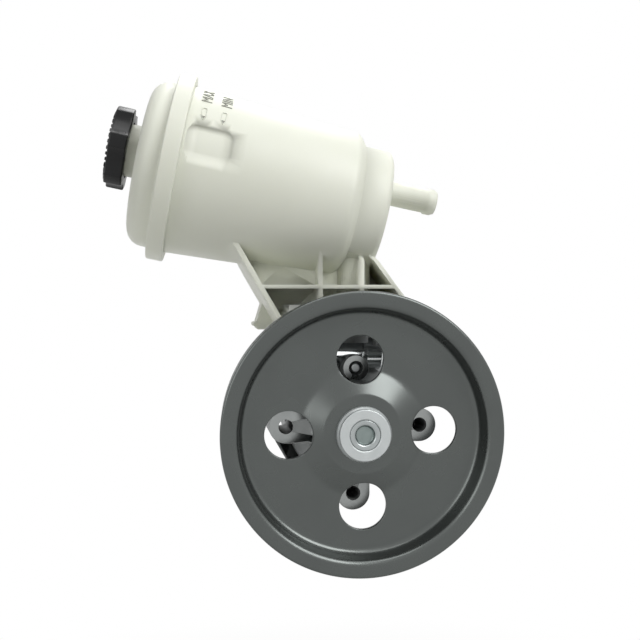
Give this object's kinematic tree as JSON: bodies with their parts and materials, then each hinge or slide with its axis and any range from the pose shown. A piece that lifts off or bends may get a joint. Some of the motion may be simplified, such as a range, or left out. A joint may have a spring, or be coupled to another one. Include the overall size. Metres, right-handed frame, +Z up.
{
  "type": "power steering pump",
  "caption": "Belt-driven vane pump with a ribbed plastic fluid reservoir tilted above a deep stepped pulley.",
  "frame": {"origin": "on the drive shaft's axis, in the plane of the front mounting bosses, midway between the left and right boss holes", "axes": "-Y out of the pulley along the shaft, +Z up, +X to the right seen from the pulley"},
  "size_m": [0.2104, 0.1156, 0.2672],
  "materials": {
    "pulley_paint": "satin",
    "zinc_steel": "satin",
    "ground_steel": "satin",
    "hard_steel": "satin",
    "cast_aluminium": "rough",
    "bush_bronze": "satin",
    "seal_rubber": "matte",
    "tank_plastic": "satin",
    "cap_plastic": "satin"
  },
  "bodies": {
    "housing": {"shaft_seal": "seal_rubber", "front_bush": "bush_bronze", "pump_housing": "cast_aluminium", "thrust_plate": "hard_steel", "cam_ring": "hard_steel", "pressure_plate": "hard_steel", "pressure_plate_seal": "seal_rubber", "dowel_pins": "hard_steel", "pressure_spring": "hard_steel", "end_cover": "zinc_steel", "end_cover_seal": "seal_rubber", "retaining_ring": "hard_steel", "spool_spring": "hard_steel", "valve_plug": "zinc_steel", "outlet_union": "zinc_steel", "gallery_plug": "zinc_steel", "reservoir_body": "tank_plastic", "reservoir_lid": "tank_plastic", "strainer": "tank_plastic", "suction_seal": "seal_rubber", "bolt_sleeves": "zinc_steel", "reservoir_bolts": "zinc_steel"},
    "rotating": {"pulley": "pulley_paint", "pulley_hub": "zinc_steel", "drive_shaft": "ground_steel", "rotor": "hard_steel", "rotor_snap_ring": "hard_steel", "vane_01": "hard_steel", "vane_02": "hard_steel", "vane_03": "hard_steel", "vane_04": "hard_steel", "vane_05": "hard_steel", "vane_06": "hard_steel", "vane_07": "hard_steel", "vane_08": "hard_steel", "vane_09": "hard_steel", "vane_10": "hard_steel"},
    "spool": {"flow_spool": "hard_steel"},
    "gasket": {"cap_gasket": "seal_rubber"},
    "cap": {"filler_cap": "cap_plastic"}
  },
  "joints": [
    {"name": "pump_spin", "type": "hinge", "parent": "housing", "child": "rotating", "pos_m": [0, 0, 0], "axis": [0, 1, 0], "continuous": true},
    {"name": "spool_slide", "type": "slide", "parent": "housing", "child": "spool", "axis": [1, 0, 0], "range_m": [0, 0.006], "stiffness_N_per_m": 2500, "springref_m": -0.004, "deforming": ["spool_spring"]},
    {"name": "cap_lift", "type": "slide", "parent": "housing", "child": "gasket", "axis": [-0.9803, 0, 0.1977], "range_m": [0, 0.008]},
    {"name": "cap_turn", "type": "hinge", "parent": "gasket", "child": "cap", "pos_m": [-0.13205, 0.019, 0.15358], "axis": [-0.9803, 0, 0.1977], "range_deg": [0, 360]}
  ],
  "couplings": [
    {"joint": "cap_turn", "follows": "cap_lift", "rad_per_m": 785.4}
  ]
}
